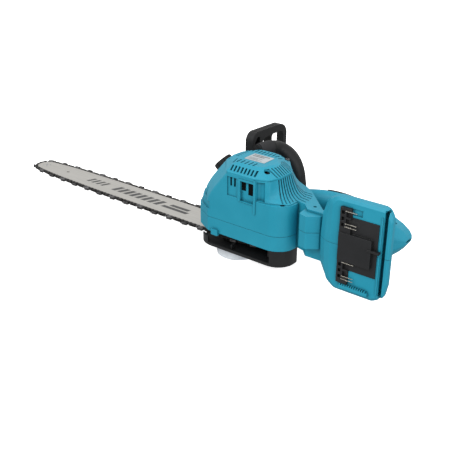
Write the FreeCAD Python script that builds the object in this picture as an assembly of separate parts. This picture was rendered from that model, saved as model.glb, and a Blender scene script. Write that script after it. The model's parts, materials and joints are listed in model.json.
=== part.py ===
"""Cordless twin-battery chainsaw, lying on its right side.

Millimetres. +X runs to the saw's rear, +Y to the saw's top, +Z to the saw's
left side, which faces up. The origin is the middle of the tension knob's outer
face, which touches the floor at z = 0.
"""
import FreeCAD, Part
import math
import os
from FreeCAD import Vector as V

os.makedirs("parts", exist_ok=True)

# ---------------------------------------------------------------- dimensions
WALL = 3.0              # moulded wall thickness
Y_SOLE = -47.0          # underside of the saw
Y_BACK = 45.0           # top of the body
Z_LOW = 47.5            # right-hand face of the body, where the bar sits
Z_SHELF = 119.0         # left-hand face of the rear part of the body
Z_SEAM = 150.5          # where the motor cap starts
X_FRONT = -62.0         # front of the body
X_REAR = 117.0          # rear of the body
SPLIT_BODY = 71.0       # height of the housing parting plane in the body
SPLIT_GRIP = 93.0       # and in the handle
X_SPLIT = 128.0         # where the parting plane steps

BAR_Z0, BAR_Z1 = 33.8, 37.3     # guide bar plate
BAR_HALF = 26.0                 # half width of the bar
NOSE_X, NOSE_R = -467.5, 17.0   # nose centre and plate radius
TAIL_X = 44.0                   # rear end of the bar
SPROCKET = V(75, 0, 0)          # drive sprocket axis
MOTOR = V(35, 0, 0)             # motor axis
PITCH = 8.255                   # rivet to rivet

KNOB_R, KNOB_H = 36.5, 17.0
COVER_Z0, COVER_Z1 = 21.7, 24.7
BASE = (188.0, 280.0, 24.0, 160.0)   # battery base: x0, x1, z0, z1
BASE_BACK = -24.0
HANDLE_R = 11.0
OIL_SEAT = V(-41.0, 24.0, 126.0)     # oil filler, on the front shoulder
OIL_AXIS = V(-0.70, -0.10, 0.70)
PIVOT = V(-14, 56, 0)                # hand guard pivot, parallel to Z


# ------------------------------------------------------------------- helpers
def rounded_wire(points, radii, z):
    """Closed wire at height z through the points, corners rounded."""
    n = len(points)
    if not isinstance(radii, (list, tuple)):
        radii = [radii] * n
    starts, mids, ends = [], [], []
    for i in range(n):
        p = V(points[i][0], points[i][1], z)
        a = (V(points[i - 1][0], points[i - 1][1], z) - p).normalize()
        b = (V(points[(i + 1) % n][0], points[(i + 1) % n][1], z) - p).normalize()
        half = a.getAngle(b) / 2
        run = radii[i] / math.tan(half)
        centre = p + (a + b).normalize() * (radii[i] / math.sin(half))
        starts.append(p + a * run)
        ends.append(p + b * run)
        mids.append(centre + (p - centre).normalize() * radii[i])
    edges = []
    for i in range(n):
        edges.append(Part.Arc(starts[i], mids[i], ends[i]).toShape())
        edges.append(Part.makeLine(ends[i], starts[(i + 1) % n]))
    return Part.Wire(edges)


def prism(points, radii, z0, z1):
    face = Part.Face(rounded_wire(points, radii, z0))
    return face.extrude(V(0, 0, z1 - z0))


def loft(levels, radii):
    """Ruled solid through rounded outlines given as (z, points)."""
    wires = [rounded_wire(points, radii, z) for z, points in levels]
    return Part.makeLoft(wires, True, True)


def box(x0, x1, y0, y1, z0, z1):
    return Part.makeBox(x1 - x0, y1 - y0, z1 - z0, V(x0, y0, z0))


def rod(x, y, z0, z1, r):
    return Part.makeCylinder(r, z1 - z0, V(x, y, z0))


def ring(x, y, z0, z1, r_out, r_in):
    return rod(x, y, z0, z1, r_out).cut(rod(x, y, z0 - 1, z1 + 1, r_in))


def fuse(shapes):
    out = shapes[0].multiFuse(shapes[1:]) if len(shapes) > 1 else shapes[0]
    return out.removeSplitter()


def cut(shape, tools):
    return shape.cut(Part.makeCompound(tools))


def inset(points, d):
    """Polygon moved inward by d (points run anticlockwise)."""
    n = len(points)
    out = []
    for i in range(n):
        p = V(points[i][0], points[i][1], 0)
        a = (p - V(points[i - 1][0], points[i - 1][1], 0)).normalize()
        b = (V(points[(i + 1) % n][0], points[(i + 1) % n][1], 0) - p).normalize()
        na, nb = V(-a.y, a.x, 0), V(-b.y, b.x, 0)
        shift = (na + nb) * (d / (1 + na.dot(nb)))
        out.append((p.x + shift.x, p.y + shift.y))
    return out


def pipe(path_points, half_u, half_v, normal):
    """Tube with an elliptical section swept along a smooth path."""
    curve = Part.BSplineCurve()
    curve.interpolate([V(*p) for p in path_points])
    spine = Part.Wire([curve.toShape()])
    t = curve.tangent(curve.FirstParameter)[0]
    n = V(*normal)
    side = t.cross(n).normalize()
    big, small = max(half_u, half_v), min(half_u, half_v)
    start = V(*path_points[0])
    ell = Part.Ellipse(start + side * big, start + t.cross(side).normalize() * small, start)
    if half_u < half_v:
        up = t.cross(side).normalize()
        ell = Part.Ellipse(start + up * big, start + side * small, start)
    section = Part.Wire([ell.toShape()])
    return spine.makePipeShell([section], True, False)


def save(name, shape):
    shape.exportStep("parts/" + name + ".step")


# ------------------------------------------------------------------ housings
BODY = [(-24, Y_SOLE), (X_REAR, Y_SOLE), (X_REAR, 11), (94, Y_BACK), (-40, Y_BACK),
        (X_FRONT, 20), (X_FRONT, -12), (-51, -32)]
BODY_R = [5, 30, 10, 14, 14, 14, 8, 4]
STEP = [(-20, Y_SOLE), (X_REAR, Y_SOLE), (X_REAR, 11), (94, Y_BACK), (-36, Y_BACK),
        (X_FRONT + 4, 20), (X_FRONT + 4, -12), (-46, -31)]
SHELF = [(40, Y_SOLE), (X_REAR, Y_SOLE), (X_REAR, 11), (94, Y_BACK), (40, Y_BACK)]


def upper_levels(d=0.0):
    """Outlines of the tapering left side between the body and the cap."""
    rows = [(96.0, -46, 0.0), (106.0, -42, 0.0), (118.0, -34.5, 0.0), (120.0, -33, 1.0),
            (125.0, -29, 0.60), (130.0, -25, 0.40), (138.0, -18.5, 0.21), (Z_SEAM, -8, 0.0)]
    out = []
    for z, xf, flare in rows:
        if z < 120.0:
            flare = 1.0
        t = (z - 96.0) / (Z_SEAM - 96.0)
        xr = 90.0 + 26.0 * flare
        near = -47.0
        pts = [(xf + 21, near), (64, near), (85, near + 4 + 5 * (1 - flare)),
               (xr - 3 * flare, -30 + 14 * (1 - flare)), (xr, 10 + flare),
               (60 + 33 * flare, 45 + 3 * t),
               (xf + 10, 45 + 3 * t), (xf - 12, 24), (xf - 12, -11 + 2 * t)]
        out.append((z, inset(pts, d) if d else pts))
    return out


UPPER_R = [8, 6, 6, 9, 12, 8, 10, 10, 8]
CAP_FOOT = [(12, -47), (62, -47), (84, -38), (90, -18), (90, 10), (60, 48),
            (10, 48), (-16, 18), (-19, -7)]
CAP_CREASE = [(17, -38.5), (60, -38.5), (71, -31), (78, -12), (77, 4), (50, 39),
              (15, 39), (-6, 13), (-8, -5)]
CAP_R = [8, 10, 12, 10, 12, 12, 12, 10, 8]
NECK = [(100, -10), (118, -12), (130, -15), (141, -27), (200, -27), (200, -10), (161, -17),
        (112, 31), (95, 43), (80, 40)]
NECK_R = [4, 3, 5, 5, 3, 3, 6, 8, 4, 4]
NECK_IN = [(108, -7), (119, -8.5), (131.5, -11.5), (143, -24), (190, -24), (190, -14), (158, -20),
           (111, 26), (98, 38)]
BLOCK = [(136.7, -40), (150.5, -44), (166, -32), (170, -20), (134, -18)]
BLOCK_R = [2.5, 3, 2.5, 1, 1]
GRIP_PATH = [(66, 34, 93), (90, 53, 93), (115, 67, 93), (145, 70, 93), (185, 59, 93),
             (222, 44, 93), (252, 24, 93)]


def base_solid(d=0.0):
    """Battery base: flat face towards -Y, a wide slanted flank towards the front."""
    x0, x1, z0, z1 = BASE
    rows = [(Y_SOLE + d, 4.0, 2.0, 0.0, 0.0), (-44.5, 0.5, 0.0, 7.0, 0.0),
            (-37.0, 0.0, 0.5, 19.0, 7.0), (-31.0, 1.0, 4.0, 20.0, 9.0),
            (BASE_BACK - d, 7.0, 9.0, 14.0, 6.0)]
    levels = []
    for y, e, r, bulge, more in rows:
        a, b = x0 + e + d, x1 - r - d
        lo, hi = z0 + e + d, z1 + 2 - e - d
        pts = [(a + 12, lo), (b - 20, lo), (b - 4, lo + 9), (b, lo + 30), (b, hi - 12),
               (b - 7, hi), (a + 8, hi), (a - bulge * 0.35, hi - 8.5),
               (a - bulge * 0.8, hi - 34), (a - 0.8 - bulge * 0.85, 93),
               (a - bulge * 0.8, lo + 30), (a + 2 - bulge * 0.4, lo + 10)]
        levels.append((y, [(px, -pz) for px, pz in pts]))
    solid = loft(levels, [10.0 if d else 12.0] * 9 + [60.0] + [10.0] * 2)
    solid.rotate(V(0, 0, 0), V(1, 0, 0), -90)
    return solid


def tail_solid(d=0.0):
    """Rear end of the handle, a blunt cone behind the battery base."""
    rows = [(205, -28, 40, 33), (230, -26, 46, 32), (246, -18, 47, 30.5), (258, -8, 46, 22.5),
            (266, 2, 43, 15.5), (271.5, 9, 38, 8.5), (274, 13, 33, 4)]
    wires = []
    for x, y0, y1, h in rows:
        a, b, hh = y0 + d * 0.8, y1 - d * 0.8, h - d * 0.8
        half = [(a, 0.55), (a + (b - a) * 0.35, 1.0), (b - (b - a) * 0.2, 0.8), (b, 0.35)]
        pts = [(y, 93 + hh * k) for y, k in half] + [(y, 93 - hh * k) for y, k in reversed(half)]
        wires.append(rounded_wire(pts, hh * 0.35, x))
    solid = Part.makeLoft(wires, True, True)
    solid.rotate(V(0, 0, 0), V(1, 1, 1), 120)
    return solid


def niche_liner():
    """Wall behind the screw niche."""
    liner = box(62, 88, -46.5, -33.5, 117, Z_SEAM - 0.5)
    return liner.common(loft(upper_levels(0.4), UPPER_R))


def filler_liner():
    """Thick pad behind the sunk seat of the oil filler."""
    axis = V(OIL_AXIS).normalize()
    pad = Part.makeCylinder(20.0, 4.5, OIL_SEAT - axis * 4.0, axis)
    return pad.common(loft(upper_levels(0.4), UPPER_R))


def niche_tools():
    """Smooth niche beside the window frame."""
    return prism([(66.5, -52), (80, -52), (80, -42.5), (75, -39), (69, -39.5), (66.5, -42)],
                 [1, 1, 3, 3, 2, 1.5], 120, Z_SEAM - 2)


def vent_tools():
    """Recessed panel, framed window and their openings on the underside."""
    tools = [box(14, 32, -50, -45.4, 116, 146)]
    for x in (18.5, 25.5):
        tools.append(box(x, x + 3.4, -50, -36, 131.5, 146))
    tools.append(box(38.5, 62.5, -50, -43.6, 113, 144.5))
    for x0, x1, z0 in ((38.5, 46.5, 129), (50.5, 61, 124)):
        tools.append(box(x0, x1, -50, -36, z0, 144.5))
    return tools


def groove_tools(inner):
    """Louvre grooves that run down the flare at the rear of the left side."""
    tops = [(88.0, -22.0 + 4.8 * i) for i in range(10)]
    feet = [(101, -31), (108, -29.5), (113, -26), (116, -20), (117, -13), (117.5, -6),
            (117.5, 1), (116.5, 8), (113, 15), (108.5, 21.5)]
    tools = []
    for (ax, ay), (bx, by) in zip(tops, feet):
        run = V(bx - ax, by - ay, 0)
        length = run.Length + 14
        slab = Part.makeBox(length, 1.9, 30, V(0, -0.95, 0))
        slab.rotate(V(0, 0, 0), V(0, 0, 1), math.degrees(math.atan2(run.y, run.x)))
        slab.translate(V(ax, ay, 120.6) - run.normalize() * 4)
        tools.append(slab.cut(inner))
    return tools


def housing_shell():
    upper = loft(upper_levels(), UPPER_R)
    lower = prism(BODY, BODY_R, Z_LOW, 84.0)
    middle = prism(STEP, BODY_R, 84.0, 97.0)
    shelf = prism(SHELF, [4, 30, 10, 14, 4], 97.0, Z_SHELF)
    lug = box(-15, -3, -50.5, -44, Z_LOW - 3.5, Z_LOW + 6)
    neck = prism(NECK, NECK_R, Z_LOW, 121.5)
    block = prism(BLOCK, BLOCK_R, 68, 118)
    rib = box(62.5, 66, -48.2, -44, 98, Z_SEAM - 0.2)
    frame = box(35.5, 66, -48.2, -44, 112, Z_SEAM - 3)
    frame = frame.cut(box(38.5, 62.5, -50, -43, 114, Z_SEAM - 6))
    grip = pipe(GRIP_PATH, 13.5, 19.0, (0, 0, 1))
    outer = fuse([lower, middle, shelf, upper, lug, neck, block, base_solid(), tail_solid(), grip,
                  rib, frame])
    cavity = [prism(inset(BODY, WALL), [3, 27, 7, 11, 11, 11, 5, 2], Z_LOW + WALL, 82.0),
              prism(inset(STEP, WALL + 0.5), [3, 26, 7, 10, 10, 10, 4, 2], 80.0, 97.0),
              prism(inset(SHELF, 3.5), [1, 26, 7, 10, 1], 95.0, Z_SHELF - WALL),
              loft(upper_levels(3.6), [5, 3, 3, 5, 8, 5, 7, 7, 5]),
              prism(NECK_IN, 1.0, Z_LOW + WALL, 118.0),
              base_solid(3.5),
              tail_solid(3.5),
              pipe(GRIP_PATH, 10.5, 16.0, (0, 0, 1))]
    shell = outer
    for tool in cavity:
        shell = shell.cut(tool)
    return shell.fuse(niche_liner()).fuse(filler_liner())


def housing_details(shell):
    """Cut vents, niche, grooves, screw holes, seam lines and face features."""
    tools = vent_tools() + [niche_tools()] + seam_tools()
    tools += groove_tools(loft(upper_levels(2.2), UPPER_R))
    tools.append(Part.makeCone(4.2, 2.6, 4.5, V(104.5, -34, Z_SHELF + 0.5), V(0, 0, -1)))
    tools.append(rod(104.5, -34, 112, Z_SHELF + 1, 2.6))
    tools.append(Part.makeCylinder(2.6, 30, V(250, 18, 108), V(0.45, 0, 0.9)))
    tools.append(rod(146, -14, 114, 122, 2.6))
    tools.append(box(268.6, 274.2, -50, -38, 28, 160.3))
    tools.append(box(223.7, 238, -50, -44.8, 142, 151.5))
    tools.append(box(206.8, 223.6, -50, -45.2, 39.5, 151.5))
    tools.append(box(222, 263.2, -50, -45.2, 60.2, 138.8))
    tools.append(Part.makeCylinder(7.7, 60, OIL_SEAT - OIL_AXIS * 25, OIL_AXIS))
    tools.append(Part.makeCylinder(17.2, 40, OIL_SEAT, OIL_AXIS))
    tools.append(rod(SPROCKET.x, SPROCKET.y, 40, 60, 6.05))
    tools.append(rod(0, 0, 40, 60, 4.0))
    tools.append(rod(-24, 0, 40, 60, 4.0))
    tools.append(box(129, 163, 48, 66, 83.6, 102.4))
    tools.append(box(149.6, 170.4, 70, 92, 86.6, 99.4))
    tools.append(box(-46, -38.5, -31, -24, 99, 108))
    tools.append(box(-90, X_FRONT + 40, Y_BACK - 4, Y_BACK + 8, Z_LOW - 2, 60))
    return cut(shell, tools)


def seam_tools():
    """Shallow grooves where the two housing halves meet."""
    slab_body = box(-100, X_SPLIT, -80, 100, SPLIT_BODY - 0.3, SPLIT_BODY + 0.3)
    slab_grip = box(X_SPLIT, 300, -80, 100, SPLIT_GRIP - 0.3, SPLIT_GRIP + 0.3)
    body = prism(BODY, BODY_R, 70, 72).cut(prism(inset(BODY, 0.6), [4.4, 29.4, 9.4, 13.4, 13.4, 13.4,
                                                                    7.4, 3.4], 69, 73))
    base = base_solid().cut(base_solid(0.6))
    block = prism(BLOCK, BLOCK_R, 90, 96).cut(prism(inset(BLOCK, 0.6), 0.3, 90, 96))
    return [body.common(slab_body), base.common(slab_grip), block.common(slab_grip)]


def split_housing():
    shell = housing_details(housing_shell())
    rails = [box(212, 255, -51.5, -46.5, 31.5, 36.4)]
    rails += [box(213 + 3.4 * i, 214.7 + 3.4 * i, -51.5, -46.5, 36.2, 38.8) for i in range(12)]
    ridge = [box(265.4, 267.2, -48, -46, 36, 150)]
    shell = fuse([shell] + rails + ridge)
    left_zone = box(-200, X_SPLIT, -150, 200, SPLIT_BODY, 300)
    left_zone = left_zone.fuse(box(X_SPLIT, 400, -150, 200, SPLIT_GRIP, 300))
    left = shell.common(left_zone)
    right = shell.cut(left_zone)
    return left, right


def biggest(shape):
    return max(shape.Solids, key=lambda s: s.Volume)


# ---------------------------------------------------------------- motor side
def motor_cap():
    outer = loft([(Z_SEAM, CAP_FOOT), (Z_SEAM + 2.5, CAP_FOOT), (162.0, CAP_CREASE),
                  (165.6, inset(CAP_CREASE, 7))], CAP_R)
    inner_r = [5, 7, 9, 7, 9, 9, 9, 7, 5]
    inner = loft([(Z_SEAM - 1, inset(CAP_FOOT, 3)), (Z_SEAM + 2, inset(CAP_FOOT, 3)),
                  (159.5, inset(CAP_CREASE, 3)), (163.0, inset(CAP_CREASE, 9))], inner_r)
    cap = outer.cut(inner)
    tools = []
    for i in range(8):
        x = 17.5 + 6.1 * i
        tools.append(box(x, x + 3.0, -50, -34, 154.9, 162.0))
    for i in range(6):
        x = 12 + 7.2 * i
        tools.append(box(x, x + 2.4, -32, -20.5, 161, 168))
    for i in range(9):
        x = 10 + 6.1 * i
        tools.append(box(x, x + 2.2, 17, 29, 161, 168))
        tools.append(box(x, x + 2.3, 34, 52, 155.4, 162.6))
    for i in range(7):
        y = -12 + 5.6 * i
        tools.append(box(-7, 9, y, y + 1.8, 164.2, 168))
        tools.append(box(-24, -9, y, y + 2.3, 155.4, 161.6))
    skin = loft([(Z_SEAM - 1, inset(CAP_FOOT, 1.5)), (Z_SEAM + 2, inset(CAP_FOOT, 1.5)),
                 (161.0, inset(CAP_CREASE, 1.5)), (164.2, inset(CAP_CREASE, 8.0))], inner_r)
    for i in range(10):
        y = -25 + 5.2 * i
        tools.append(box(66, 96, y, y + 2.1, 153.2, 163.2).cut(skin))
    tools.append(rod(72.5, -29, 155.0, 170, 4.6))
    tools.append(rod(72.5, -29, 150, 156, 1.9))
    tools.append(rod(60, 41, 156.0, 170, 4.6))
    tools.append(rod(-4, 30, 156.0, 170, 4.6))
    return cut(cap, tools)


def label_plate():
    return prism([(21, -15), (57, -15), (57, 11.5), (21, 11.5)], 1.2, 165.6, 166.1)


def motor_parts():
    x, y = MOTOR.x, MOTOR.y
    stator = ring(x, y, 104, 128, 33.0, 20.0)
    slots = [box(x + 18, x + 28, y - 2, y + 2, 103, 129) for _ in range(9)]
    for i, s in enumerate(slots):
        s.rotate(V(x, y, 0), V(0, 0, 1), 40.0 * i)
    stator = cut(stator, slots)
    coils = []
    for i in range(9):
        coil = box(x + 21, x + 30, y - 5.5, y + 5.5, 100, 104)
        top = box(x + 21, x + 30, y - 5.5, y + 5.5, 128, 132)
        for c in (coil, top):
            c.rotate(V(x, y, 0), V(0, 0, 1), 40.0 * i + 20)
            coils.append(c)
    rotor = ring(x, y, 103, 129, 19.4, 4.0)
    shaft = fuse([rod(x, y, 53, 147, 4.0)])
    fan = ring(x, y, 134, 137, 30, 4.0)
    for i in range(12):
        blade = box(x + 12, x + 29, y - 0.8, y + 0.8, 137, 143)
        blade.rotate(V(x, y, 0), V(0, 0, 1), 30.0 * i)
        fan = fan.fuse(blade)
    fan = fan.fuse(ring(x, y, 134, 143, 8, 4.0)).removeSplitter()
    spider = ring(x, y, 90, 100, 38, 31)
    spider = spider.fuse(ring(x, y, 90, 96, 15, 8.05))
    for i in range(3):
        arm = box(x + 13, x + 33, y - 3, y + 3, 90, 96)
        arm.rotate(V(x, y, 0), V(0, 0, 1), 120.0 * i + 60)
        spider = spider.fuse(arm)
    spider = spider.removeSplitter()
    return stator, Part.makeCompound(coils), rotor, shaft, fan, spider


def toothed(x, y, z0, z1, teeth, r_root, r_tip, bore, phase, share):
    """Gear blank with straight-flanked teeth."""
    body = rod(x, y, z0, z1, r_root)
    step = 360.0 / teeth
    for i in range(teeth):
        pts = []
        for frac, r in ((-share, r_root - 0.6), (-share * 0.45, r_tip), (share * 0.45, r_tip),
                        (share, r_root - 0.6)):
            ang = math.radians(phase + step * (i + frac))
            pts.append(V(x + r * math.cos(ang), y + r * math.sin(ang), z0))
        tooth = Part.Face(Part.makePolygon(pts + [pts[0]])).extrude(V(0, 0, z1 - z0))
        body = body.fuse(tooth)
    return body.cut(rod(x, y, z0 - 1, z1 + 1, bore)).removeSplitter()


def drive_parts():
    mx, my = MOTOR.x, MOTOR.y
    sx, sy = SPROCKET.x, SPROCKET.y
    pinion = toothed(mx, my, 54, 64, 10, 6.6, 9.2, 4.0, 0.0, 0.26)
    gear = toothed(sx, sy, 55, 63, 40, 29.6, 32.4, 6.0, 180.0 + 4.5, 0.26)
    spindle = fuse([rod(sx, sy, 29, 68, 6.0), rod(sx, sy, 47, 53, 6.0)])
    sprocket = toothed(sx, sy, 33.9, 37.2, 6, 8.6, 10.3, 6.0, 25.7, 0.2)
    flange = ring(sx, sy, 30.5, 32.3, 15, 6.0).fuse(ring(sx, sy, 38.8, 40.5, 15, 6.0))
    hub = ring(sx, sy, 30.5, 43.0, 8.6, 6.0)
    sprocket = fuse([sprocket, flange, hub])
    clip = ring(sx, sy, 28.6, 30.2, 9.0, 6.0).cut(box(sx, sx + 12, sy - 2, sy + 2, 28, 31))
    bearing = ring(mx, my, 90, 96, 8.0, 4.03)
    return pinion, gear, spindle, sprocket, clip, bearing


# ---------------------------------------------------------- bar and its chain
def bar_outline(d=0.0):
    """Half-width of the bar along X as a list of points, upper side."""
    rows = [(TAIL_X - d, 12.0), (TAIL_X - 6, 19.5 - d), (TAIL_X - 24, BAR_HALF - d),
            (-250.0, BAR_HALF - d), (-310.0, 25.4 - d), (-360.0, 24.3 - d), (-400.0, 23.0 - d),
            (-432.0, 21.0 - d), (-455.0, 18.6 - d)]
    return rows


def bar_face(d, z):
    upper = [V(x, y, z) for x, y in bar_outline(d)]
    lower = [V(p.x, -p.y, z) for p in reversed(upper)]
    nose_r = NOSE_R - d
    top_end = V(NOSE_X, nose_r, z)
    low_end = V(NOSE_X, -nose_r, z)
    edge_top = Part.BSplineCurve()
    edge_top.interpolate(upper[3:] + [top_end])
    edge_low = Part.BSplineCurve()
    edge_low.interpolate([low_end] + lower[:-3])
    edges = [Part.makeLine(upper[i], upper[i + 1]) for i in range(3)]
    edges.append(edge_top.toShape())
    edges.append(Part.Arc(top_end, V(NOSE_X - nose_r, 0, z), low_end).toShape())
    edges.append(edge_low.toShape())
    edges += [Part.makeLine(lower[-4 + i], lower[-3 + i]) for i in range(3)]
    edges.append(Part.makeLine(lower[-1], upper[0]))
    return Part.Face(Part.Wire(edges))


def guide_bar():
    zs = BAR_Z0 + 1.05
    zt = BAR_Z1 - 1.05
    low = bar_face(0.0, BAR_Z0).extrude(V(0, 0, 1.05))
    core = bar_face(6.5, zs).extrude(V(0, 0, zt - zs))
    top = bar_face(0.0, zt).extrude(V(0, 0, 1.05))
    core = core.cut(rod(NOSE_X, 0, zs - 1, zt + 1, 15.2))
    bar = fuse([low, core, top])
    tools = [box(-30, 30, -4.1, 4.1, 30, 40), rod(-30, 0, 30, 40, 4.1), rod(30, 0, 30, 40, 4.1),
             rod(34, 14, 30, 40, 3.0), rod(34, -14, 30, 40, 3.0), rod(-406, 0, 30, 40, 2.8)]
    return cut(bar, tools)


def nose_parts():
    wheel = toothed(NOSE_X, 0, 34.95, 36.15, 9, 10.8, 13.7, 4.05, 10.0, 0.24)
    pin = rod(NOSE_X, 0, BAR_Z0 + 1.05, BAR_Z1 - 1.05, 4.0)
    rivets = []
    for ang in (45, 135, 225, 315):
        c = V(NOSE_X + 6.5 * math.cos(math.radians(ang)), 6.5 * math.sin(math.radians(ang)), 0)
        rivets.append(rod(c.x, c.y, BAR_Z1, BAR_Z1 + 0.25, 1.3))
    return wheel, pin, Part.makeCompound(rivets)


def chain_path():
    """Closed list of points the rivets follow, with running length."""
    gap = 2.6
    pts = []
    for x, y in [(20.0, BAR_HALF), (-250.0, BAR_HALF), (-310.0, 25.4), (-360.0, 24.3),
                 (-400.0, 23.0), (-432.0, 21.0), (-455.0, 18.6)]:
        pts.append((x, y + gap))
    top = [V(x, y, 0) for x, y in pts] + [V(NOSE_X, NOSE_R + gap, 0)]
    curve = Part.BSplineCurve()
    curve.interpolate(top[1:])
    run = [top[0]]
    run += [V(20.0 - 10.0 * i, BAR_HALF + gap, 0) for i in range(1, 27)]
    run += [curve.value(curve.FirstParameter + (curve.LastParameter - curve.FirstParameter) * i / 60)
            for i in range(61)]
    r = NOSE_R + gap
    run += [V(NOSE_X - r * math.sin(math.radians(a)), r * math.cos(math.radians(a)), 0)
            for a in range(4, 91, 4)]
    lower = [V(p.x, -p.y, 0) for p in reversed(run)]
    r_s = 16.2
    wrap = [V(SPROCKET.x + r_s * math.cos(math.radians(a)), r_s * math.sin(math.radians(a)), 0)
            for a in range(-78, 79, 4)]
    return run + lower + wrap


def along(points, s):
    """Position and heading at arc length s on the closed path."""
    n = len(points)
    for i in range(n):
        a, b = points[i], points[(i + 1) % n]
        step = (b - a).Length
        if s <= step and step > 1e-9:
            return a + (b - a) * (s / step), math.atan2(b.y - a.y, b.x - a.x)
        s -= step
    return points[0], 0.0


def place(shape, a, b):
    """Copy of a link drawn along X, moved so its ends lie on a and b."""
    out = shape.copy()
    out.rotate(V(0, 0, 0), V(0, 0, 1), math.degrees(math.atan2(b.y - a.y, b.x - a.x)))
    out.translate(V(a.x, a.y, 0))
    return out


def chain_parts():
    points = chain_path()
    total = sum((points[(i + 1) % len(points)] - points[i]).Length for i in range(len(points)))
    count = 4 * int(round(total / PITCH / 4.0))
    step = total / count
    rivets = [along(points, step * i)[0] for i in range(count)]
    zc = (BAR_Z0 + BAR_Z1) / 2
    # the path runs towards -X above the bar, so outward lies on its right hand
    out = -1.0
    tang = [V(-2.2, 2.6 * out, 0), V(step + 2.2, 2.6 * out, 0), V(step + 2.2, -2.2 * out, 0),
            V(step * 0.72, -2.6 * out, 0), V(step * 0.5, -5.0 * out, 0),
            V(step * 0.2, -2.6 * out, 0), V(-2.2, -2.2 * out, 0)]
    drive = Part.Face(Part.makePolygon(tang + [tang[0]])).extrude(V(0, 0, 1.2))
    drive.translate(V(0, 0, zc - 0.6))

    def strap(z0, z1):
        pts = [(-3.5, -2.0), (step + 3.5, -2.0), (step + 3.5, 2.7), (-3.5, 2.7)]
        if out < 0:
            pts = [(x, -y) for x, y in reversed(pts)]
        body = prism(pts, 1.6, z0, z1)
        head = 0.7
        for x in (0, step):
            if z0 > zc:
                body = body.fuse(rod(x, 0, z1, z1 + head, 1.7))
            else:
                body = body.fuse(rod(x, 0, z0 - head, z0, 1.7))
        return body.removeSplitter()

    top, low = strap(zc + 0.65, zc + 2.05), strap(zc - 2.05, zc - 0.65)

    def cutter(side):
        base = top if side > 0 else low
        z0, z1 = (zc + 0.65, zc + 2.05) if side > 0 else (zc - 2.05, zc - 0.65)
        blade = [(1.4, 2.3), (step + 3.4, 2.3), (step + 3.4, 5.6), (2.4, 6.6)]
        gauge = [(-3.4, 2.3), (-1.2, 2.3), (-1.5, 5.6), (-3.1, 4.6)]
        plate = [(2.0, 5.5), (step + 3.4, 4.5), (step + 3.4, 5.6), (2.0, 6.6)]
        shapes = [base]
        for pts, a, b in ((blade, z0, z1), (gauge, z0, z1),
                          (plate, z0 - (2.6 if side > 0 else 0), z1 + (0 if side > 0 else 2.6))):
            vs = [V(x, y * out, a) for x, y in pts]
            shapes.append(Part.Face(Part.makePolygon(vs + [vs[0]])).extrude(V(0, 0, b - a)))
        return fuse(shapes)

    left_tooth, right_tooth = cutter(1), cutter(-1)
    drives, straps, cutters = [], [], []
    for i in range(count):
        a, b = rivets[i], rivets[(i + 1) % count]
        if i % 2 == 0:
            drives.append(place(drive, a, b))
            continue
        k = i // 2
        if k % 4 == 1:
            cutters.append(place(left_tooth, a, b))
            straps.append(place(low, a, b))
        elif k % 4 == 3:
            cutters.append(place(right_tooth, a, b))
            straps.append(place(top, a, b))
        else:
            straps.append(place(top, a, b))
            straps.append(place(low, a, b))
    return (Part.makeCompound(drives), Part.makeCompound(straps), Part.makeCompound(cutters))


# ------------------------------------------------------- cover, knob, tension
COVER = [(-50, -47), (116.5, -47), (116.5, -8), (76, 41), (-30, 41), (-50, 24)]
COVER_R = [31, 28.4, 12, 12, 12, 12]


def sprocket_cover():
    plate = prism(COVER, COVER_R, COVER_Z0, COVER_Z1)
    wall = prism(COVER, COVER_R, COVER_Z1, Z_LOW - 0.4)
    wall = wall.cut(prism(inset(COVER, 3), [28, 25.4, 9, 9, 9, 9], COVER_Z1, Z_LOW))
    wall = cut(wall, [box(-24, 92, -60, -30, COVER_Z1 + 1.4, 60),
                      box(-90, -24, -60, 36, 36.0, 60),
                      box(-90, -30, -37, 36, COVER_Z1 + 0.5, 60)])
    collar = rod(0, 0, 18.2, COVER_Z0, 40)
    collar = collar.common(prism(inset(COVER, -1.5), [32.5, 29.9, 13.5, 13.5, 13.5, 13.5], 10, 30))
    ribs = [box(18, 20, -43, -34, COVER_Z1, 33)]
    body = fuse([plate, wall, collar] + ribs)
    tools = [rod(0, 0, 10, 26, 6.1), ring(0, 0, 17.9, 18.9, 36.5, 33.5)]
    return cut(body, tools)


def tension_knob():
    body = prism([(KNOB_R * math.cos(math.radians(22.5 + 45 * i)),
                   KNOB_R * math.sin(math.radians(22.5 + 45 * i))) for i in range(8)],
                 6.0, 0, KNOB_H)
    tools = []
    for i in range(8):
        ang = math.radians(45 * i)
        tools.append(rod(47.0 * math.cos(ang), 47.0 * math.sin(ang), 4, KNOB_H + 1, 14.0))
    rim = rod(0, 0, 0, KNOB_H, KNOB_R - 3.8)
    body = fuse([cut(body, tools), rim])
    chamfer = Part.makeCone(KNOB_R - 3, KNOB_R + 3, 6, V(0, 0, 0))
    keep = chamfer.fuse(rod(0, 0, 6, KNOB_H, KNOB_R + 3))
    body = body.common(keep)
    return body.cut(rod(0, 0, 3, 30, 5.3))


def tension_parts():
    nut = ring(0, 0, 6, KNOB_H + 0.6, 5.2, 4.05)
    stud = rod(0, 0, 8, 62, 4.0)
    stud2 = rod(-24, 0, 38.2, 54, 4.0)
    dial = toothed(0, 0, 25.6, 29.4, 28, 22.0, 24.2, 6.2, 0.0, 0.26)
    pin = fuse([box(20, 44, 10.6, 17.4, 30.2, 33.2), rod(34, 14, 29.9, 37.0, 2.85)])
    plate = cut(box(-40, 42, -20, 20, 37.7, 38.9), [rod(0, 0, 30, 45, 4.1), rod(-24, 0, 30, 45, 4.1),
                                                     rod(34, 14, 30, 45, 5.4)])
    return nut, stud, stud2, dial, pin, plate


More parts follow.
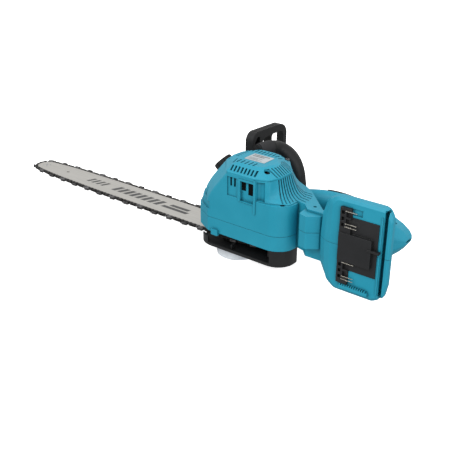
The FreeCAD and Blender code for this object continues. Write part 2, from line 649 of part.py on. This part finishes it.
# ------------------------------------------------------- handles and controls
HANDLE_PATH = [(1, 47, 155), (4.5, 60, 156), (9, 76, 155.5), (15, 88.5, 151.5), (28, 93.5, 144),
               (41, 93.5, 130.5), (47, 93, 117), (50.5, 92.5, 101), (53, 90, 76), (53, 78, 58),
               (53, 60, 53), (53, 42, 58)]


def sub_path(points, a, b):
    curve = Part.BSplineCurve()
    curve.interpolate([V(*p) for p in points])
    u0, u1 = curve.FirstParameter, curve.LastParameter
    out = []
    for i in range(9):
        p = curve.value(u0 + (u1 - u0) * (a + (b - a) * i / 8.0))
        out.append((p.x, p.y, p.z))
    return out


def clear_body(shape):
    """Remove whatever would run into the housings or the motor cap."""
    shape = shape.cut(box(-60, 200, -60, 45.25, 0, 200))
    shape = shape.cut(loft(upper_levels(-0.2), UPPER_R))
    return shape.cut(prism(inset(CAP_FOOT, -0.3), CAP_R, Z_SEAM - 0.4, 200))


def front_handle():
    tube = pipe(HANDLE_PATH, HANDLE_R, 9.5, (0.95, 0, 0.3))
    foot_a = prism([(-9, 40), (18, 40), (16, 57), (-7, 57)], 4, 134, 152)
    foot_b = prism([(36, 40), (72, 40), (72, 55), (36, 55)], 4, 49, 70)
    handle = fuse([tube, foot_a, foot_b])
    return clear_body(handle)


def grip_sleeve():
    part = sub_path(HANDLE_PATH, 0.015, 0.14)
    sleeve = pipe(part, HANDLE_R + 0.9, 10.4, (0.95, 0, 0.3))
    sleeve = sleeve.cut(pipe(HANDLE_PATH, HANDLE_R + 0.02, 9.52, (0.95, 0, 0.3)))
    return clear_body(sleeve).cut(front_handle())


def yz_prism(points, radii, x0, x1):
    """Prism along X of a rounded outline given in Y and Z."""
    flat = prism(points, radii, 0, x1 - x0)
    flat.rotate(V(0, 0, 0), V(1, 1, 1), 120)
    flat.translate(V(x0, 0, 0))
    return flat


def hand_guard():
    """Frame that stands in front of the front handle, with one deep rib."""
    frame = [(57, 94), (67, 68), (116, 62), (146, 74), (152.5, 98), (152.5, 173.5), (57, 177)]
    outer = yz_prism(frame, [4, 10, 18, 18, 10, 20, 15], -31, -17)
    window_a = yz_prism([(82, 84), (106.4, 82), (106.4, 163), (90, 162), (82, 154)],
                        [4, 4, 5, 5, 4], -40, 0)
    window_b = yz_prism([(110, 82), (138, 86), (143.5, 108), (143.5, 162), (110, 163)],
                        [4, 8, 8, 10, 5], -40, 0)
    dish = yz_prism([(64, 98), (77, 84), (77, 168), (70, 168), (64, 160)], 3, -26, -10)
    relief = box(-40, -9, 45, 62, 118.6, 131.5)
    guard = cut(outer, [window_a, window_b, dish, relief])
    notches = [box(-32, -16, 70 + 5.0 * i, 71.8 + 5.0 * i, 175.4 - 0.18 * i, 184) for i in range(12)]
    guard = cut(guard, notches)
    arm = fuse([box(-30, -14, 51, 63, 131.5, 138), rod(PIVOT.x, PIVOT.y, 131.5, 138, 6.5)])
    guard = fuse([guard, arm])
    guard = guard.cut(rod(PIVOT.x, PIVOT.y, 138.0, 141, 6.0))
    return guard.cut(rod(PIVOT.x, PIVOT.y, 130, 145, 3.05))


def guard_pin():
    return fuse([rod(PIVOT.x, PIVOT.y, 121, 138.3, 3.0), rod(PIVOT.x, PIVOT.y, 138.3, 140, 5.0)])


def guard_boss():
    boss = prism([(-20, 38), (-3, 38), (-3, 55), (-9, 61), (-18, 61), (-21, 56)], 2, 119, 131.2)
    boss = boss.cut(loft(upper_levels(), UPPER_R))
    return boss.cut(rod(PIVOT.x, PIVOT.y, 120.9, 170, 3.0))


def controls():
    trigger = prism([(132, 40), (158, 38), (160, 54), (146, 56), (132, 60)], [3, 5, 3, 2, 3],
                    84, 102)
    lock = prism([(150, 77.5), (168, 72.5), (170, 82), (152, 86)], 2, 87, 99)
    switch = box(152, 180, 61, 67.5, 86, 100)
    return trigger, lock, switch


def soft_grip():
    part = GRIP_PATH[2:6]
    sleeve = pipe(part, 15.0, 20.5, (0, 0, 1))
    sleeve = sleeve.cut(pipe(GRIP_PATH, 13.55, 19.05, (0, 0, 1)))
    keep = pipe([(x, y + 8.5, z) for x, y, z in part], 15.0, 22.0, (0, 0, 1))
    return sleeve.common(keep).cut(box(149.6, 170.4, 70, 92, 86.6, 99.4))


# ----------------------------------------------------- terminals, oil, panels
def terminal_parts():
    strip = box(207, 223.4, -51.2, -45.4, 39.7, 151.3)
    plate = box(222, 263, -48.0, -45.4, 60.4, 138.6)
    panel = prism([(207, -52.8), (256, -52.8), (256, -45.4), (207, -45.4)], 0.8, 74, 115.5)
    hook = box(250, 268.2, -53.8, -48.6, 99.4, 102.4)
    body = fuse([strip, plate, panel, hook])
    tools = []
    for z0 in (124, 133, 142, 47, 56, 65):
        tools.append(box(209.2, 213.6, -52, -47.6, z0, z0 + 5.2))
    for z0 in (51, 63, 140, 128):
        tools.append(box(216, 223.5, -53, -47.6, z0 - 1.5, z0 + 8))
    body = cut(body, tools)
    blades = [box(215.5, 233.0, -53.0, -51.2, z - 0.35, z + 0.35)
              for z in (147.6, 129.6, 125.0, 72.2, 51.6, 47.0)]
    return biggest(body), blades


def oil_parts():
    axis = V(OIL_AXIS).normalize()
    seat = OIL_SEAT
    neck = Part.makeCylinder(7.6, 20, seat - axis * 20, axis)
    neck = neck.cut(Part.makeCylinder(5.8, 30, seat - axis * 25, axis))
    cap = Part.makeCylinder(16.0, 14, seat + axis * 1.0, axis)
    rim = [e for e in cap.Edges if (e.CenterOfMass - seat - axis * 15.0).Length < 0.5]
    cap = cap.makeFillet(3.6, rim)
    frame = FreeCAD.Rotation(V(0, 0, 1), axis)
    tools = []
    for i in range(8):
        ang = math.radians(45 * i)
        p = frame.multVec(V(18.5 * math.cos(ang), 18.5 * math.sin(ang), 0))
        tools.append(Part.makeCylinder(4.6, 20, seat + p + axis * 3.0, axis))
    cap = cut(cap, tools)
    stem = Part.makeCylinder(5.2, 9, seat - axis * 8.0, axis)
    cap = fuse([cap, stem])
    seal = Part.makeCylinder(8.4, 0.9, seat + axis * 0.05, axis)
    seal = seal.cut(Part.makeCylinder(5.3, 5, seat - axis * 2, axis))
    tank = box(-42, -6, -27, 30, 55, 92).cut(box(-39.5, -8.5, -24.5, 27.5, 57.5, 89.5))
    tank = tank.cut(rod(-20, 0, 50, 60, 2.0))
    return cap, seal, neck, tank


def small_parts():
    board = box(196, 262, -36, -34, 50, 136)
    catcher = fuse([box(82, 102, -36, -32, 30, 46), box(82, 102, -36, -24, 44.5, 46.8)])
    shelf_screw = fuse([rod(104.5, -34, 106, 114.2, 1.9), rod(104.5, -34, 114.2, 115.8, 2.5)])
    cap_screw = fuse([rod(72.5, -29, 144, 155.0, 1.8), rod(72.5, -29, 155.0, 157.4, 3.6)])
    pump = fuse([rod(94, -25, 50.5, 53.0, 8.0), rod(94, -25, 53.0, 54.6, 5.0)])
    return board, catcher, shelf_screw, cap_screw, pump


def main():
    left, right = split_housing()
    save("housing_left", biggest(left))
    save("housing_right", biggest(right))
    save("motor_cap", biggest(motor_cap()))
    save("label_plate", label_plate())
    names = ("motor_stator", "motor_coils", "motor_rotor", "motor_shaft", "cooling_fan",
             "motor_mount")
    for name, shape in zip(names, motor_parts()):
        save(name, shape)
    names = ("motor_pinion", "drive_gear", "sprocket_spindle", "drive_sprocket",
             "sprocket_clip", "motor_bearing")
    for name, shape in zip(names, drive_parts()):
        save(name, shape)
    save("guide_bar", guide_bar())
    for name, shape in zip(("nose_sprocket", "nose_pin", "nose_rivets"), nose_parts()):
        save(name, shape)
    names = ("chain_drive_links", "chain_tie_straps", "chain_cutters")
    for name, shape in zip(names, chain_parts()):
        save(name, shape)
    save("sprocket_cover", sprocket_cover())
    save("tension_knob", tension_knob())
    names = ("knob_nut", "bar_stud", "bar_guide_stud", "tension_dial", "tension_pin",
             "bar_plate")
    for name, shape in zip(names, tension_parts()):
        save(name, shape)
    save("front_handle", biggest(front_handle()))
    save("handle_sleeve", biggest(grip_sleeve()))
    save("hand_guard", biggest(hand_guard()))
    save("guard_pin", guard_pin())
    save("guard_boss", guard_boss())
    for name, shape in zip(("trigger", "lock_off_button", "switch_box"), controls()):
        save(name, shape)
    save("soft_grip", biggest(soft_grip()))
    block, blades = terminal_parts()
    save("terminal_block", block)
    save("contact_blades", Part.makeCompound(blades))
    for name, shape in zip(("oil_cap", "oil_cap_seal", "oil_neck", "oil_tank"), oil_parts()):
        save(name, shape)
    names = ("control_board", "chain_catcher", "shelf_screw", "cap_screw", "oil_pump")
    for name, shape in zip(names, small_parts()):
        save(name, shape)


main()
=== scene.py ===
"""Looks for the cordless chainsaw: procedural materials, small details, light and camera.

Metres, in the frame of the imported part: +X to the saw's rear, +Y to its top, +Z to
its left side, which faces up.
"""
import json
import math
import bmesh
import bpy
from mathutils import Matrix, Vector


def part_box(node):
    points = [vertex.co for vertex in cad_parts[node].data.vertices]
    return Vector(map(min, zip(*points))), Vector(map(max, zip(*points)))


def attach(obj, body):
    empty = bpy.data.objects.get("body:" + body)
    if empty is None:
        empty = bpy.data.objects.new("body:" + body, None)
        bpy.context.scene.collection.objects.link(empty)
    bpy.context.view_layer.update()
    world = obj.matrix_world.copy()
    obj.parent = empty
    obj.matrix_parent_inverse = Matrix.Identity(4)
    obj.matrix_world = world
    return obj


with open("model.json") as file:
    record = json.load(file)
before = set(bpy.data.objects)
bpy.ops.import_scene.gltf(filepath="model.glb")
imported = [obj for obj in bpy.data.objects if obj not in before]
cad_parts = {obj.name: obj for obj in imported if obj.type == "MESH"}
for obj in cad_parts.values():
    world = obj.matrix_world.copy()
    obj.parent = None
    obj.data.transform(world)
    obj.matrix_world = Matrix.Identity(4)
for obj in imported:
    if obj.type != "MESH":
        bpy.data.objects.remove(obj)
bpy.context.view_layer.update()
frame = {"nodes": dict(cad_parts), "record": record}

NODES = frame["nodes"]
MM = 0.001
SMOOTH_ANGLE = math.radians(32)
WHITE = (1.0, 1.0, 1.0, 1.0)
PRINT_LIFT = 0.01        # how far print stands off the bar, in millimetres
PRINT_TOP = 0.035
PRINT_LEAN = 0.42        # slant of the hatch, sideways per unit of height
RULE_HEIGHT = 0.05       # thickness of the rules on the label
LABEL_MARGIN = 3.0
RIVET_R = 2.6
VENT_SHADE_STEP = 2.0        # rib spacing of the near-black sheet behind the vents, which is painted shade
FLOOR_R = 12.0           # floor radius and its drop below the saw, in metres
FLOOR_DROP = 0.0006


# ------------------------------------------------------------ material helpers
def srgb(r, g, b):
    """Linear colour from 8-bit sRGB numbers."""
    out = []
    for c in (r, g, b):
        c /= 255.0
        out.append(c / 12.92 if c <= 0.04045 else ((c + 0.055) / 1.055) ** 2.4)
    return (*out, 1.0)


class Nodes:
    """A small builder around one material's node tree."""

    def __init__(self, name):
        self.mat = bpy.data.materials.new(name)
        self.mat.use_nodes = True
        self.tree = self.mat.node_tree
        self.bsdf = self.tree.nodes["Principled BSDF"]
        self.coords = self.add("ShaderNodeTexCoord").outputs["Object"]

    def add(self, kind, **values):
        node = self.tree.nodes.new(kind)
        for key, value in values.items():
            if key in node.inputs:
                node.inputs[key].default_value = value
            else:
                setattr(node, key, value)
        return node

    def link(self, a, b):
        self.tree.links.new(a, b)

    def stretched(self, scale):
        """Object coordinates multiplied by scale, for grain that runs one way."""
        mapping = self.add("ShaderNodeMapping")
        mapping.inputs["Scale"].default_value = scale
        self.link(self.coords, mapping.inputs["Vector"])
        return mapping.outputs["Vector"]

    def noise(self, scale, detail=2.0, rough=0.5, vector=None):
        node = self.add("ShaderNodeTexNoise", Scale=scale, Detail=detail, Roughness=rough)
        self.link(vector or self.coords, node.inputs["Vector"])
        return node.outputs["Fac"]

    def cells(self, scale, feature="F1"):
        node = self.add("ShaderNodeTexVoronoi", Scale=scale)
        node.feature = feature
        self.link(self.coords, node.inputs["Vector"])
        return node.outputs["Distance"]

    def ramp(self, factor, stops):
        node = self.add("ShaderNodeValToRGB")
        elements = node.color_ramp.elements
        while len(elements) < len(stops):
            elements.new(0.5)
        for element, (place, colour) in zip(elements, stops):
            element.position = place
            element.color = colour
        self.link(factor, node.inputs["Fac"])
        return node.outputs["Color"]

    def span(self, factor, low, high):
        node = self.add("ShaderNodeMapRange")
        node.inputs["To Min"].default_value = low
        node.inputs["To Max"].default_value = high
        self.link(factor, node.inputs["Value"])
        return node.outputs["Result"]

    def mix(self, factor, a, b):
        node = self.add("ShaderNodeMix", data_type="RGBA")
        for value, socket in ((factor, 0), (a, 6), (b, 7)):
            if isinstance(value, (float, tuple)):
                node.inputs[socket].default_value = value
            else:
                self.link(value, node.inputs[socket])
        return node.outputs[2]

    def edges(self, radius):
        """1 on corners and edges, 0 on flat faces, from the rounded normal."""
        bevel = self.add("ShaderNodeBevel", Radius=radius, samples=4)
        geometry = self.add("ShaderNodeNewGeometry")
        dot = self.add("ShaderNodeVectorMath", operation="DOT_PRODUCT")
        self.link(bevel.outputs["Normal"], dot.inputs[0])
        self.link(geometry.outputs["Normal"], dot.inputs[1])
        step = self.add("ShaderNodeMapRange")
        step.inputs["From Min"].default_value = 0.995
        step.inputs["From Max"].default_value = 0.90
        self.link(dot.outputs["Value"], step.inputs["Value"])
        return step.outputs["Result"]

    def painted_crevice_shade(self, reach, floor):
        """Painted shade mask from ambient occlusion: 1 in the open, down to floor inside slots,
        grooves and corners.
        """
        node = self.add("ShaderNodeAmbientOcclusion", Distance=reach, samples=8)
        step = self.add("ShaderNodeMapRange")
        step.inputs["From Min"].default_value = 0.30
        step.inputs["From Max"].default_value = 0.95
        step.inputs["To Min"].default_value = floor
        self.link(node.outputs["AO"], step.inputs["Value"])
        return step.outputs["Result"]

    def relief(self, heights, radius=0.0):
        """Bumps from (height, strength, distance), over an edge rounded by radius."""
        normal = None
        if radius:
            normal = self.add("ShaderNodeBevel", Radius=radius, samples=4).outputs["Normal"]
        for height, strength, distance in heights:
            bump = self.add("ShaderNodeBump", Strength=strength, Distance=distance)
            self.link(height, bump.inputs["Height"])
            if normal is not None:
                self.link(normal, bump.inputs["Normal"])
            normal = bump.outputs["Normal"]
        self.link(normal, self.bsdf.inputs["Normal"])

    def finish(self, colour, rough, metallic=0.0, coat=0.0, specular=0.5):
        for value, name in ((colour, "Base Color"), (rough, "Roughness")):
            if isinstance(value, (float, tuple)):
                self.bsdf.inputs[name].default_value = value
            else:
                self.link(value, self.bsdf.inputs[name])
        self.bsdf.inputs["Metallic"].default_value = metallic
        self.bsdf.inputs["Coat Weight"].default_value = coat
        self.bsdf.inputs["Specular IOR Level"].default_value = specular
        return self.mat


def moulded(name, base, light, rough, grain=0.12, edge=0.0006, painted_shade_floor=0.22, specular=0.4):
    """Moulded plastic: slow tone drift, rubbed edges, painted shade darkening the crevices, eroded
    grain.
    """
    n = Nodes(name)
    drift = n.ramp(n.noise(14, 3, 0.6), [(0.35, base), (0.7, light)])
    rubbed = tuple(min(1.0, c * 1.12 + 0.004) for c in light[:3]) + (1.0,)
    worn = n.mix(n.edges(edge * 1.6), drift, rubbed)
    # Painted shade: slots, grooves and corners darken towards a tenth of the base colour, by
    # ambient occlusion.
    dark = tuple(c * 0.12 for c in base[:3]) + (1.0,)
    shaded = n.mix(n.painted_crevice_shade(0.006, painted_shade_floor), dark, worn)
    scuffs = n.noise(90, 4, 0.7, n.stretched((1, 1, 0.3)))
    n.relief([(n.cells(1500), grain, 0.00006), (n.noise(420, 2), grain * 0.8, 0.00008)], edge)
    return n.finish(shaded, n.span(scuffs, rough - 0.07, rough + 0.09), specular=specular)


def rubber(name, base, light):
    """Overmoulded rubber with a stipple of small raised dots."""
    n = Nodes(name)
    tone = n.ramp(n.noise(30, 3), [(0.3, base), (0.75, light)])
    n.relief([(n.cells(620), 0.55, 0.00018), (n.noise(1600, 2), 0.2, 0.00005)], 0.0005)
    return n.finish(tone, n.span(n.noise(160, 3), 0.62, 0.80), specular=0.35)


def brushed(name, base, dark, rough, along, bump=0.10):
    """Ground metal with fine scratches that run one way."""
    n = Nodes(name)
    lines = n.noise(1.0, 4, 0.65, n.stretched(along))
    fog = n.noise(18, 4, 0.6)
    tone = n.mix(n.span(fog, 0.0, 0.55), n.ramp(lines, [(0.3, dark), (0.65, base)]), base)
    n.relief([(lines, bump, 0.00004)], 0.0003)
    return n.finish(tone, n.span(fog, rough - 0.06, rough + 0.10), metallic=1.0)


def oiled(name, base, dark, rough):
    """Dark chain steel with an uneven film of oil."""
    n = Nodes(name)
    tone = n.ramp(n.noise(260, 5, 0.7), [(0.35, dark), (0.7, base)])
    n.relief([(n.noise(1300, 3), 0.25, 0.00008)], 0.0002)
    return n.finish(tone, n.span(n.noise(120, 3), rough - 0.1, rough + 0.14), metallic=0.85)


def glossy(name, base, light, rough):
    """Pale injection-moulded plastic with a soft flow pattern."""
    n = Nodes(name)
    tone = n.ramp(n.noise(22, 4, 0.6), [(0.3, base), (0.7, light)])
    n.relief([(n.noise(900, 2), 0.06, 0.00005)], 0.0008)
    return n.finish(tone, n.span(n.noise(60, 3), rough - 0.05, rough + 0.08), coat=0.15)


def wound(name, base, dark):
    """Enamelled copper wire laid side by side."""
    n = Nodes(name)
    wave = n.add("ShaderNodeTexWave", Scale=420.0, Distortion=0.6)
    n.link(n.coords, wave.inputs["Vector"])
    n.relief([(wave.outputs["Fac"], 0.6, 0.0002)])
    return n.finish(n.ramp(wave.outputs["Fac"], [(0.2, dark), (0.7, base)]), 0.34, metallic=0.9)


def board(name):
    """Lacquered circuit board with a pattern of tracks."""
    n = Nodes(name)
    tracks = n.cells(240, "DISTANCE_TO_EDGE")
    tone = n.ramp(tracks, [(0.02, srgb(60, 120, 70)), (0.08, srgb(14, 62, 34))])
    n.relief([(tracks, 0.2, 0.0001)])
    return n.finish(tone, 0.32)


# ------------------------------------------------------------------- materials
TEAL = moulded("teal_plastic", srgb(28, 138, 163), srgb(36, 145, 170), 0.50, specular=0.3)
BLACK = moulded("black_plastic", srgb(24, 25, 27), srgb(32, 33, 35), 0.48, 0.2)
COVER = moulded("cover_plastic", srgb(20, 21, 22), srgb(27, 28, 29), 0.38, 0.14)
GUARD = moulded("guard_plastic", srgb(19, 20, 21), srgb(26, 27, 28), 0.52, 0.25, specular=0.3)
HANDLE = moulded("handle_plastic", srgb(17, 18, 19), srgb(24, 25, 26), 0.50, 0.2, specular=0.3)
RUBBER = rubber("soft_rubber", srgb(30, 30, 32), srgb(40, 40, 42))
BAR = brushed("bar_steel", srgb(198, 196, 191), srgb(174, 172, 167), 0.42, (18, 900, 900))
STEEL = brushed("machined_steel", srgb(176, 177, 180), srgb(128, 129, 132), 0.32, (400, 400, 60))
CHAIN = oiled("chain_steel", srgb(74, 72, 71), srgb(34, 33, 33), 0.42)
CUTTER = oiled("cutter_steel", srgb(120, 119, 120), srgb(60, 59, 60), 0.34)
KNOB = glossy("knob_plastic", srgb(212, 219, 226), srgb(226, 232, 238), 0.36)
LABEL = glossy("label_film", srgb(156, 166, 170), srgb(172, 181, 185), 0.34)
TANK = glossy("tank_plastic", srgb(214, 214, 200), srgb(228, 228, 216), 0.45)
IRON = oiled("motor_iron", srgb(92, 92, 98), srgb(58, 58, 62), 0.50)
COPPER = wound("copper_wire", srgb(196, 122, 74), srgb(120, 62, 34))
BOARD = board("circuit_board")
TIN = brushed("tinned_blade", srgb(226, 222, 210), srgb(190, 186, 174), 0.28, (700, 60, 60))
SEAL = rubber("seal_rubber", srgb(24, 24, 25), srgb(32, 32, 33))
INK = moulded("dark_print", srgb(62, 62, 62), srgb(74, 74, 74), 0.50, 0.04, 0.00005)
# Near-black material for the sheet behind the vent openings: painted shade.
VENT_SHADE = moulded("painted_vent_shade", srgb(7, 9, 10), srgb(11, 13, 14), 0.70, 0.2, 0.0001, specular=0.1)
SCREW = brushed("screw_steel", srgb(96, 97, 100), srgb(60, 61, 64), 0.36, (300, 300, 300))

BY_SLOT = {
    "teal_plastic": TEAL, "black_plastic": BLACK, "soft_black": RUBBER, "bar_steel": BAR,
    "chain_steel": CHAIN, "cutter_steel": CUTTER, "machined_steel": STEEL,
    "motor_iron": IRON, "copper": COPPER, "knob_plastic": KNOB, "label_film": LABEL,
    "board_green": BOARD, "blade_metal": TIN, "tank_plastic": TANK, "seal_rubber": SEAL,
}
BY_NODE = {"sprocket_cover": COVER, "hand_guard": GUARD, "front_handle": HANDLE,
           "oil_cap": GUARD}


def dress_frame():
    """Every CAD node: its slot's material, smooth faces and crisp corners."""
    slots = {row["node"]: row["material_slot"] for row in frame["record"]["subparts"]}
    for name, obj in NODES.items():
        obj.data.materials.clear()
        obj.data.materials.append(BY_NODE.get(name) or BY_SLOT[slots[name]])
        obj.data.polygons.foreach_set("use_smooth", [True] * len(obj.data.polygons))
        obj.data.set_sharp_from_angle(angle=SMOOTH_ANGLE)


# ---------------------------------------------------------------- mesh helpers
def piece(name, bm, material, body, place=None):
    """Finish a bmesh as an object that rides on a body."""
    if place is not None:
        bm.transform(place)
    bmesh.ops.recalc_face_normals(bm, faces=bm.faces)
    mesh = bpy.data.meshes.new(name)
    bm.to_mesh(mesh)
    bm.free()
    mesh.materials.append(material)
    mesh.polygons.foreach_set("use_smooth", [True] * len(mesh.polygons))
    mesh.set_sharp_from_angle(angle=SMOOTH_ANGLE)
    obj = bpy.data.objects.new(name, mesh)
    bpy.context.scene.collection.objects.link(obj)
    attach(obj, body)


def aim(point, axis=(0, 0, 1), spin=0.0):
    """Placement that takes +Z to axis at a point given in millimetres."""
    turn = Vector((0, 0, 1)).rotation_difference(Vector(axis)).to_matrix().to_4x4()
    return Matrix.Translation(Vector(point) * MM) @ turn @ Matrix.Rotation(spin, 4, "Z")


def extrude(bm, outline, z0, z1):
    """Closed slab from an outline in millimetres."""
    low = [bm.verts.new((x * MM, y * MM, z0 * MM)) for x, y in outline]
    high = [bm.verts.new((x * MM, y * MM, z1 * MM)) for x, y in outline]
    bm.faces.new(low)
    bm.faces.new(high)
    for i in range(len(outline)):
        j = (i + 1) % len(outline)
        bm.faces.new((low[i], low[j], high[j], high[i]))


def lathe(bm, profile, steps):
    """Closed solid about Z from rows of (radius, height, lobes) in millimetres.

    lobes is how far the radius swells and shrinks six times round, as a share of it.
    """
    rings = []
    for radius, z, lobes in profile:
        ring = []
        for i in range(steps):
            a = 2 * math.pi * i / steps
            r = radius * (1.0 + lobes * math.cos(6 * a))
            ring.append(bm.verts.new((r * MM * math.cos(a), r * MM * math.sin(a), z * MM)))
        rings.append(ring)
    for a, b in zip(rings, rings[1:]):
        for i in range(steps):
            j = (i + 1) % steps
            bm.faces.new((a[i], a[j], b[j], b[i]))
    bm.faces.new(rings[0])
    bm.faces.new(rings[-1])


def screw(name, point, axis, r, spin):
    """Pan-head screw with a six-lobed socket, head resting at the point."""
    lobes = 0.17
    rows = [(0.98, 0.0, 0.0), (1.0, 0.16, 0.0), (0.93, 0.42, 0.0), (0.72, 0.58, 0.0),
            (0.50, 0.62, lobes), (0.46, 0.58, lobes), (0.46, 0.15, lobes)]
    bm = bmesh.new()
    lathe(bm, [(r * radius, r * z, swell) for radius, z, swell in rows], 48)
    piece(name, bm, SCREW, "saw", aim(point, axis, spin))


# --------------------------------------------------------------------- details
def bar_print():
    """Plain slanted hatch printed along the bar's upper side."""
    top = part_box("guide_bar")[1].z / MM
    low, high = top + PRINT_LIFT, top + PRINT_TOP
    bm = bmesh.new()
    bars = [(-343 + 12 * i, 6, -8.0, 8.0) for i in range(4)]
    bars += [(-276 + 14.5 * i, 9.5, -9.5, 9.5) for i in range(8)]
    bars += [(-150, 40, 1.5, 8.5), (-157, 56, -8.5, -1.5)]
    for x, width, y0, y1 in bars:
        lean0, lean1 = PRINT_LEAN * y0, PRINT_LEAN * y1
        extrude(bm, [(x + lean0, y0), (x + width + lean0, y0),
                     (x + width + lean1, y1), (x + lean1, y1)], low, high)
    piece("bar_print", bm, INK, "saw")


def bar_rivets():
    """A domed rivet at the nose wheel's centre, on both faces of the bar."""
    low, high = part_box("guide_bar")
    nose_low, nose_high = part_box("nose_sprocket")
    centre = (nose_low.x + nose_high.x) / 2 / MM
    dome = [(1.0, 0.0), (1.0, 0.12), (0.82, 0.34), (0.45, 0.46), (0.1, 0.5)]
    for side, z, axis in (("up", high.z / MM, (0, 0, 1)), ("down", low.z / MM, (0, 0, -1))):
        bm = bmesh.new()
        lathe(bm, [(RIVET_R * share, height, 0.0) for share, height in dome], 28)
        piece("bar_rivets_" + side, bm, STEEL, "saw", aim((centre, 0, z), axis))


def label_lines():
    """Plain grey rules on the label, in place of any text."""
    low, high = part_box("label_plate")
    x0, y0, x1, y1, z = (v / MM for v in (low.x, low.y, high.x, high.y, high.z))
    left = x0 + LABEL_MARGIN
    width = x1 - x0 - 2 * LABEL_MARGIN
    heavy = [(share, y1 - 5.5 - 4.6 * i, 2.0) for i, share in enumerate((0.92, 0.7))]
    fine = [(share, y0 + 3.4 + 3.2 * i, 0.9) for i, share in enumerate((0.85, 0.55, 0.75))]
    bm = bmesh.new()
    for share, y, tall in heavy + fine:
        right = left + width * share
        extrude(bm, [(left, y), (right, y), (right, y + tall), (left, y + tall)],
                z, z + RULE_HEIGHT)
    piece("label_lines", bm, INK, "saw")


def vent_shade_sheet():
    """Painted shade: a near-black ribbed sheet just inside the openings of the underside, darkening
    the vents.
    """
    x0, x1, z0, z1 = 15.5, 61.5, 122.0, 147.0
    back, face, crest = 42.3, 42.7, 43.1
    bm = bmesh.new()
    extrude(bm, [(x0, back), (x1, back), (x1, face), (x0, face)], z0, z1)
    for i in range(int((x1 - x0) / VENT_SHADE_STEP)):
        x = x0 + 0.6 + VENT_SHADE_STEP * i
        extrude(bm, [(x, face), (x + 0.7, face), (x + 0.5, crest), (x + 0.2, crest)],
                z0 + 1, z1 - 1)
    bm.transform(Matrix.Scale(-1.0, 4, (0, 1, 0)))
    piece("vent_shade_sheet", bm, VENT_SHADE, "saw")


def screws():
    """Screws in the counterbores of the cap, the neck and the tail."""
    screw("screw_cap_top", (60, 41, 156.0), (0, 0, 1), 3.4, 0.5)
    screw("screw_cap_nose", (-4, 30, 156.0), (0, 0, 1), 3.4, 0.2)
    screw("screw_neck", (146, -14, 115.0), (0, 0, 1), 2.3, 0.4)
    screw("screw_tail", (252.3, 18, 112.6), (0.45, 0, 0.9), 2.4, 0.4)


# ------------------------------------------------------------ stage and camera
def stage():
    """Plain white floor under the saw's lowest point."""
    bm = bmesh.new()
    bmesh.ops.create_circle(bm, cap_ends=True, radius=FLOOR_R, segments=96)
    bm.transform(Matrix.Translation((0.1, 0.0, -FLOOR_DROP)))
    mesh = bpy.data.meshes.new("floor")
    bm.to_mesh(mesh)
    bm.free()
    n = Nodes("floor_paper")
    tone = n.ramp(n.noise(2.0, 2), [(0.3, (0.97, 0.97, 0.97, 1.0)), (0.7, WHITE)])
    n.finish(tone, 0.9, specular=0.0)
    n.bsdf.inputs["Emission Color"].default_value = WHITE
    n.bsdf.inputs["Emission Strength"].default_value = 0.75
    mesh.materials.append(n.mat)
    floor = bpy.data.objects.new("floor", mesh)
    floor.visible_diffuse = False
    floor.visible_glossy = False
    bpy.context.scene.collection.objects.link(floor)


def area(name, place, target, size, watts):
    """White rectangular lamp at place, turned to target."""
    data = bpy.data.lights.new(name, "AREA")
    data.shape = "RECTANGLE"
    data.size, data.size_y = size
    data.energy = watts
    lamp = bpy.data.objects.new(name, data)
    lamp.location = place
    lamp.rotation_mode = "QUATERNION"
    lamp.rotation_quaternion = (Vector(target) - Vector(place)).to_track_quat("-Z", "Y")
    bpy.context.scene.collection.objects.link(lamp)


def sky():
    """A light tent: even above, dimmer below the horizon."""
    world = bpy.data.worlds.new("studio")
    world.use_nodes = True
    tree = world.node_tree
    coords = tree.nodes.new("ShaderNodeTexCoord")
    split = tree.nodes.new("ShaderNodeSeparateXYZ")
    ramp = tree.nodes.new("ShaderNodeMapRange")
    for name, value in (("From Min", -0.35), ("From Max", 0.45), ("To Min", 0.42), ("To Max", 1.0)):
        ramp.inputs[name].default_value = value
    background = tree.nodes["Background"]
    background.inputs["Color"].default_value = WHITE
    tree.links.new(coords.outputs["Generated"], split.inputs["Vector"])
    tree.links.new(split.outputs["Z"], ramp.inputs["Value"])
    tree.links.new(ramp.outputs["Result"], background.inputs["Strength"])
    bpy.context.scene.world = world
    bpy.context.scene.view_settings.view_transform = "Standard"


def lights():
    """The light tent and three soft lamps."""
    sky()
    area("key", (-0.15, -1.05, 1.15), (0.05, 0.0, 0.08), (0.9, 0.7), 9.0)
    area("front", (1.2, -0.7, 0.45), (0.15, 0.0, 0.08), (0.8, 0.8), 6.5)
    area("back", (0.2, 1.3, 1.0), (0.0, 0.0, 0.1), (1.4, 0.5), 1.5)


def camera():
    """The photograph's view, from the saw's rear and underside, above the floor."""
    data = bpy.data.cameras.new("camera")
    data.lens = 59.2
    data.sensor_width = 36.0
    data.clip_start, data.clip_end = 0.05, 60.0
    cam = bpy.data.objects.new("camera", data)
    cam.location = (0.6403, -0.8392, 0.5418)
    cam.rotation_mode = "QUATERNION"
    cam.rotation_quaternion = Vector((-0.5633, 0.7081, -0.4258)).to_track_quat("-Z", "Y")
    bpy.context.scene.collection.objects.link(cam)
    bpy.context.scene.camera = cam


dress_frame()
bar_print()
bar_rivets()
label_lines()
vent_shade_sheet()
screws()
stage()
lights()
camera()
